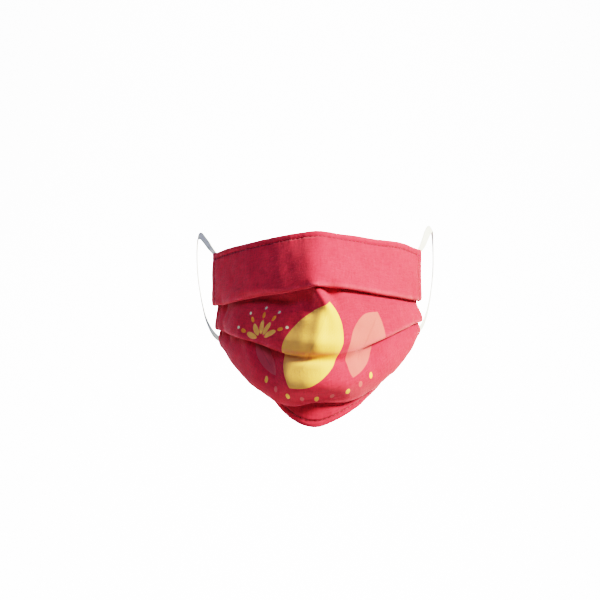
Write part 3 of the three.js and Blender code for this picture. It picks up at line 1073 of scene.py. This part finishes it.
class Stitches:
    """Gathers single stitches and makes them into one joined thread piece."""

    AROUND = 6
    ALONG = 5

    def __init__(self, sizes):
        self.sizes = sizes
        self.points = []

    def add(self, place, along, up, length):
        """One stitch at place, on the surface that faces up, dipping at both ends."""
        r = self.sizes.thread / 2
        along = unit(along)
        up = unit(up - along * np.dot(up, along))
        side = np.cross(along, up)
        turn = np.linspace(0, 2 * math.pi, self.AROUND, endpoint=False)
        for t in np.linspace(-1, 1, self.ALONG):
            ring = r * (1 - 0.75 * t**4)
            middle = place + along * (t * length / 2) + up * r * (0.75 - 1.5 * t**4)
            spokes = np.cos(turn)[:, None] * side + np.sin(turn)[:, None] * up
            self.points.append(middle + spokes * ring)

    def line(self, marks, outs):
        """A row of stitches along the line through marks, with the directions out of it."""
        pitch = self.sizes.stitch + STITCH_GAP
        run = run_along(marks)

        def read(values, at):
            return np.array([np.interp(at, run, values[:, axis]) for axis in range(3)])

        count = max(int(run[-1] / pitch), 1)
        length = min(pitch, run[-1] / count) * 0.8
        for i in range(count):
            middle = run[-1] * (i + 0.5) / count
            before, after = read(marks, middle - pitch / 4), read(marks, middle + pitch / 4)
            self.add((before + after) / 2, after - before, read(outs, middle), length)

    def make(self, name):
        """The piece itself: each stitch a closed tube, with a UV map along and round it."""
        around, along = self.AROUND, self.ALONG
        faces, uvs = [], []
        for start in range(0, len(self.points), along):
            for i in range(start, start + along - 1):
                a, b = i * around, (i + 1) * around
                x, next_x = (i - start) / along, (i - start) / along + 1 / along
                for j in range(around):
                    k = (j + 1) % around
                    faces.append((a + j, a + k, b + k, b + j))
                    y, next_y = j / around, (j + 1) / around
                    uvs += [(x, y), (x, next_y), (next_x, next_y), (next_x, y)]
            first, last = start * around, (start + along - 1) * around
            faces.append(tuple(first + j for j in reversed(range(around))))
            faces.append(tuple(last + j for j in range(around)))
            uvs += [(0, j / around) for j in range(2 * around)]
        cylinder = bpy.ops.mesh.primitive_cylinder_add
        piece = fresh(name, cylinder, vertices=around, radius=MM, depth=MM)
        reshape(piece, np.concatenate(self.points), faces)
        layer = piece.data.uv_layers.new(name="thread")
        layer.data.foreach_set("uv", np.array(uvs).ravel())
        outward()
        bpy.ops.object.shade_smooth()
        return piece


class MASK_OT_stitching(bpy.types.Operator):
    """Sew the topstitching along every hem, inside and outside, and tack the ear loops"""

    bl_idname = "mask.stitching"
    bl_label = "Stitching"

    def execute(self, context):
        form = the_form(context)
        sizes = form.sizes
        thread = finished(thread_finish, "sewing_thread", context)
        outer = sizes.cloth_wall / 2
        inner = outer + FLAP_GAP + FLAP_WALL
        for name, draw, which in (
            ("top", self.edge_line, False),
            ("bottom", self.edge_line, True),
            ("left", self.side_line, -1),
            ("right", self.side_line, 1),
        ):
            row = Stitches(sizes)
            draw(form, row, which, outer, 1)
            draw(form, row, which, inner, -1)
            if name in LOOPS:
                self.tacks(form, row, which, name)
            piece = row.make(f"topstitching_{name}")
            piece.data.materials.append(thread)
            dress(piece, None)
        return {"FINISHED"}

    def edge_line(self, form, row, last, away, face):
        """The line along the top or the last seam, away from the cloth's middle on one face."""
        sizes = form.sizes
        seam = sizes.edge_hem + sizes.seam_gap / 2
        marks, outs = [], []
        for u in np.linspace(-form.stop, form.stop, 121):
            s = np.array([form.folds(u)[1] - seam if last else seam])
            n = form.panel_height(len(PLEATS) if last else 0, u, s) + face * away
            here = form.place(u, s, n)[0]
            marks.append(here)
            outs.append((form.place(u, s, n + MM)[0] - here) * face)
        row.line(np.array(marks), np.array(outs))

    def side_line(self, form, row, side, away, face):
        """The line down a side seam, on each layer that shows on this face."""
        sizes = form.sizes
        u = side * (form.hem_start - sizes.seam_gap / 2 / form.half_cloth)
        folds, end = form.folds(u)
        # Outside, the stitches run from past one fold to just under the lip of the next. Inside,
        # each row stops short of the next fold.
        if face > 0:
            edges, after, before = [fold[0] for fold in folds], 0.8 * MM, 0.3 * MM
        else:
            edges, after, before = [fold[0] - fold[2] for fold in folds], -0.3 * MM, -1.4 * MM
        starts = [sizes.edge_hem] + [edge + after for edge in edges]
        stops = [edge + before for edge in edges] + [end - sizes.edge_hem]
        for k, (start, stop) in enumerate(zip(starts, stops)):
            s = np.linspace(start, stop, 30)
            n = form.panel_height(k, u, s) + face * away
            here = form.place(u, s, n)
            row.line(here, (form.place(u, s, n + MM) - here) * face)

    def tacks(self, form, row, side, name):
        """Zigzag rows that hold the sewn ends of an ear loop."""
        sizes = form.sizes
        places, flats, _ = loop_course(form, side, LOOPS[name])
        for end in (0, places.knots[-1]):
            for away in TACK_ROWS:
                s = abs(end - away * MM)
                along, flat = band_axes(places, flats, s, 0.2 * MM)
                across = np.cross(flat, along)
                for i, shift in enumerate(np.linspace(-TACK_SPAN, TACK_SPAN, TACKS)):
                    lean = along * (TACK_LEAN if i % 2 else -TACK_LEAN)
                    spot = places(s)[0] + across * shift * sizes.band_width / 2
                    spot = spot - flat * sizes.band_wall / 2
                    row.add(spot, across + lean, -flat, TACK_LENGTH)


def band_axes(places, flats, s, reach):
    """Directions along a band and out of its flat face, s along its course."""
    along = unit((places(s + reach) - places(s - reach))[0])
    flat = flats(s)[0]
    return along, unit(flat - along * np.dot(flat, along))


def bed(form, k, side, inward, down):
    """Place, outward direction and tilt for the middle of a sewn band on the inner face.

    The band lies against the deepest of the points that it covers.
    """
    sizes = form.sizes
    u = side * (1 - inward / form.half_cloth)
    behind = sizes.hem_wall / 2 + sizes.band_gap + sizes.band_wall / 2

    def at(share, s):
        s = np.array([s])
        return form.place(share, s, form.panel_height(k, share, s) - behind)[0]

    half = sizes.band_width / 2
    reach = half / form.half_cloth
    across = at(u + reach, down) - at(u - reach, down)
    along = at(u, down + half) - at(u, down - half)
    flat = unit(np.cross(along, across))
    middle = at(u, down)
    shares = (-1, -0.75, -0.5, 0, 0.5, 1)
    covered = [at(u + i * reach, down + j * half) for i in shares for j in shares]
    dips = [float(np.dot(middle - point, flat)) for point in covered]
    return middle - flat * max(*dips, 0), flat, 0.0


def loop_course(form, side, rows):
    """Places, outward directions and tilts along one ear loop."""
    sizes = form.sizes
    last = len(PLEATS)
    inset, sewn = sizes.band_inset, sizes.band_sewn
    bottom = form.folds(side)[1] - sizes.band_width / 2 - inset
    hem_back = sizes.depth * SECTIONS["top_edge"]["back"]
    marks = [bed(form, 0, side, inward, inward + inset) for inward in (sewn, sewn / 2, 0)]
    for row in rows:
        out = side * row["out"] * sizes.breadth / 2
        back = hem_back + row["back"] * sizes.band_reach
        place = np.array([out, back, row["level"] * sizes.height])
        marks.append((place, np.array([side, 0, 0]), row["tilt"]))
    marks += [bed(form, last, side, inward, bottom) for inward in (0, sewn / 2, sewn)]
    knots = run_along(np.array([mark[0] for mark in marks]))
    return [Curve(knots, np.array(values)) for values in zip(*marks)]


class MASK_OT_ear_loops(bpy.types.Operator):
    """Run each flat elastic from hem corner round the ear to hem corner"""

    bl_idname = "mask.ear_loops"
    bl_label = "Ear loops"

    def execute(self, context):
        form = the_form(context)
        elastic = finished(elastic_finish, "white_elastic_braid", context)
        for side, name in ((-1, "left"), (1, "right")):
            piece = self.band(form, side, name)
            piece.data.materials.append(elastic)
            dress(piece, f"ear_loop_{name}")
        return {"FINISHED"}

    def section(self, sizes):
        """Cross-section of the band: ribs on both flats and round edges."""
        ribs, steps, rib_height = 8, 48, 0.14
        x = np.linspace(-1, 1, steps + 1)
        edge = np.sqrt(np.clip(1 - np.abs(x) ** 7, 0, 1))
        rib = 1 - rib_height + rib_height * np.abs(np.sin(x * math.pi * ribs / 2))
        height = sizes.band_wall / 2 * edge * rib
        x = x * sizes.band_width / 2
        over = np.stack([x, height], axis=1)
        under = np.stack([x[::-1], -height[::-1]], axis=1)[1:-1]
        return np.concatenate([over, under])

    def band(self, form, side, name):
        """The band along its course, with a UV map across and along it."""
        places, flats, tilts = loop_course(form, side, LOOPS[name])
        total = places.knots[-1]
        steps = 260
        profile = self.section(form.sizes)
        ring = len(profile)
        points, faces = [], []
        for i in range(steps + 1):
            s = total * i / steps
            along, flat = band_axes(places, flats, s, 0.3 * MM)
            turn = Matrix.Rotation(math.radians(-side * tilts(s)[0, 0]), 3, Vector(along))
            flat = np.array(turn @ Vector(flat))
            across = np.cross(flat, along)
            points.append(places(s)[0] + profile[:, :1] * across + profile[:, 1:] * flat)
        for i in range(steps):
            a, b = i * ring, (i + 1) * ring
            for j in range(ring):
                k = (j + 1) % ring
                faces.append((a + j, b + j, b + k, a + k))
        faces.append(tuple(range(ring)))
        faces.append(tuple(steps * ring + j for j in reversed(range(ring))))
        cylinder = bpy.ops.mesh.primitive_cylinder_add
        piece = fresh(f"elastic_band_{name}", cylinder, vertices=ring, radius=MM, depth=MM)
        reshape(piece, np.concatenate(points), faces)
        layer = piece.data.uv_layers.new(name="band")
        i, j = np.divmod(corners(piece.data), ring)
        layer.data.foreach_set("uv", np.stack([profile[j, 0], total * i / steps], axis=1).ravel())
        outward()
        bpy.ops.object.shade_smooth_by_angle(angle=math.radians(50))
        return piece


class MASK_OT_stage(bpy.types.Operator):
    """Set the pale floor, the soft lights and the camera"""

    bl_idname = "mask.stage"
    bl_label = "Stage, light and camera"

    def execute(self, context):
        self.floor(context)
        self.lights(context)
        self.camera(context)
        return {"FINISHED"}

    def floor(self, context):
        """A floor that bends up into the backdrop."""
        piece = fresh("studio_floor", bpy.ops.mesh.primitive_plane_add, size=1)
        level, front, back, bend, top, half = -0.8, -6.0, 1.5, 1.0, 5.0, 6.0
        line = [(front, level)]
        for a in np.linspace(0, math.pi / 2, 17):
            line.append((back + bend * math.sin(a), level + bend * (1 - math.cos(a))))
        line.append((back + bend, top))
        points = [(x, y, z) for y, z in line for x in (-half, half)]
        faces = [(2 * i, 2 * i + 1, 2 * i + 3, 2 * i + 2) for i in range(len(line) - 1)]
        reshape(piece, points, faces)
        bpy.ops.object.shade_smooth()
        f = Finish("pale_floor")
        place = f.wire(f.node("ShaderNodeTexCoord"), 3)
        shade = context.scene.mask_colours.floor
        colour = f.mix(f.noise(place, 1.5), toned(shade, 0.985), shade)
        piece.data.materials.append(f.finish(colour, 0.9))

    def lights(self, context):
        world = bpy.data.worlds.new("studio")
        context.scene.world = world
        world.use_nodes = True
        back = world.node_tree.nodes["Background"]
        back.inputs[0].default_value = (0.93, 0.96, 1, 1)
        back.inputs[1].default_value = 0.045
        context.scene.view_settings.view_transform = "Filmic"
        context.scene.view_settings.look = "High Contrast"
        middle = (0, 0.02, -0.05)
        for name, place, aim, size, power, spread, tint in (
            ("key", (1.7, -0.84, 1.12), middle, 0.5, 25, 60, (1, 0.96, 0.7)),
            ("fill", (-0.8, -1.0, 1.7), middle, 0.8, 20, 180, (0.5, 0.6, 1)),
            ("rim", (-1.5, 1.1, 0.3), middle, 0.8, 0.4, 90, (0.8, 0.85, 1)),
            ("backdrop", (0, 1.1, 1.5), (0, 2.2, -0.15), 0.8, 100, 70, (1, 1, 1)),
        ):
            bpy.ops.object.light_add(type="AREA", location=place)
            light = bpy.context.object
            light.name = name
            light.data.size = size
            light.data.energy = power
            light.data.spread = math.radians(spread)
            light.data.color = tint
            toward = Vector(aim) - Vector(place)
            light.rotation_euler = toward.to_track_quat("-Z", "Y").to_euler()

    def camera(self, context):
        """A long lens, square to the front."""
        distance, view_width, film = 2.2, 0.378, 36
        middle = Vector((-0.0104, 0, -0.0435))
        place = middle + Vector((0, -distance, 0))
        bpy.ops.object.camera_add(location=place, rotation=(math.pi / 2, 0, 0))
        eye = bpy.context.object
        eye.name = "viewing_camera"
        eye.data.sensor_width = film
        eye.data.lens = film * distance / view_width
        context.scene.camera = eye


class MASK_PT_panel(bpy.types.Panel):
    """Lists the mask's pieces"""

    bl_idname = "MASK_PT_panel"
    bl_label = "Cloth mask"
    bl_space_type = "VIEW_3D"
    bl_region_type = "UI"
    bl_category = "Mask"

    def draw(self, context):
        column = self.layout.column(align=True)
        for operator in OPERATORS:
            column.operator(operator.bl_idname)
        for group in (context.scene.mask_sizes, context.scene.mask_colours):
            box = self.layout.box()
            for key in group.__annotations__:
                box.prop(group, key)


OPERATORS = (
    MASK_OT_body,
    MASK_OT_edge_hems,
    MASK_OT_side_hems,
    MASK_OT_ear_loops,
    MASK_OT_stitching,
    MASK_OT_stage,
)
CLASSES = (MaskSizes, MaskColours, *OPERATORS, MASK_PT_panel)


def register():
    for item in CLASSES:
        bpy.utils.register_class(item)
    bpy.types.Scene.mask_sizes = bpy.props.PointerProperty(type=MaskSizes)
    bpy.types.Scene.mask_colours = bpy.props.PointerProperty(type=MaskColours)


def unregister():
    del bpy.types.Scene.mask_colours
    del bpy.types.Scene.mask_sizes
    for item in reversed(CLASSES):
        bpy.utils.unregister_class(item)


def main():
    register()
    bpy.ops.mask.edge_hems()
    bpy.ops.mask.side_hems()
    bpy.ops.mask.body()
    bpy.ops.mask.ear_loops()
    bpy.ops.mask.stitching()
    bpy.ops.mask.stage()


if __name__ == "__main__":
    main()
